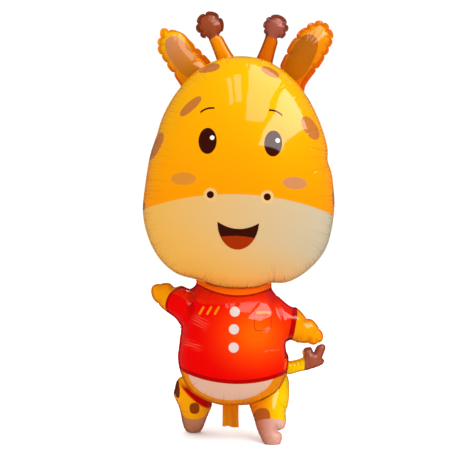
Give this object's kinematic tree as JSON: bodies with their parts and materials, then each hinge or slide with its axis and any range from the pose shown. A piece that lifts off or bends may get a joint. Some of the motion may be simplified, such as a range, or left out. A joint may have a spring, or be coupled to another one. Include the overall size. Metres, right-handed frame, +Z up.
{
  "type": "giraffe foil balloon",
  "caption": "Standing giraffe made of inflated foil cushions, with a large printed head, ears and horns, a red shirt, one raised hand, legs with hoofs and a tail.",
  "frame": {"origin": "on the floor, under the middle of the balloon", "axes": "+Z up, the giraffe faces -Y, +X to the viewer's right"},
  "size_m": [0.4362, 0.2824, 0.9863],
  "materials": {
    "head_film": "orange yellow metallic ink under clear gloss film, with a cream muzzle",
    "shirt_film": "red metallic ink under clear gloss film, with yellow hands and a pale belly",
    "ear_film": "orange yellow metallic ink under clear gloss film, brown inside the ear",
    "horn_film": "dark brown metallic ink on the knob and orange on the stalk, clear gloss film",
    "leg_film": "yellow metallic ink with brown spots and pinkish brown hoofs, clear gloss film",
    "tail_film": "yellow metallic ink with a brown tuft, clear gloss film"
  },
  "bodies": {
    "root": {"head": "head_film", "body": "shirt_film", "ear_left": "ear_film", "ear_right": "ear_film", "horn_left": "horn_film", "horn_right": "horn_film", "leg_left": "leg_film", "leg_right": "leg_film", "tail": "tail_film"}
  },
  "joints": []
}
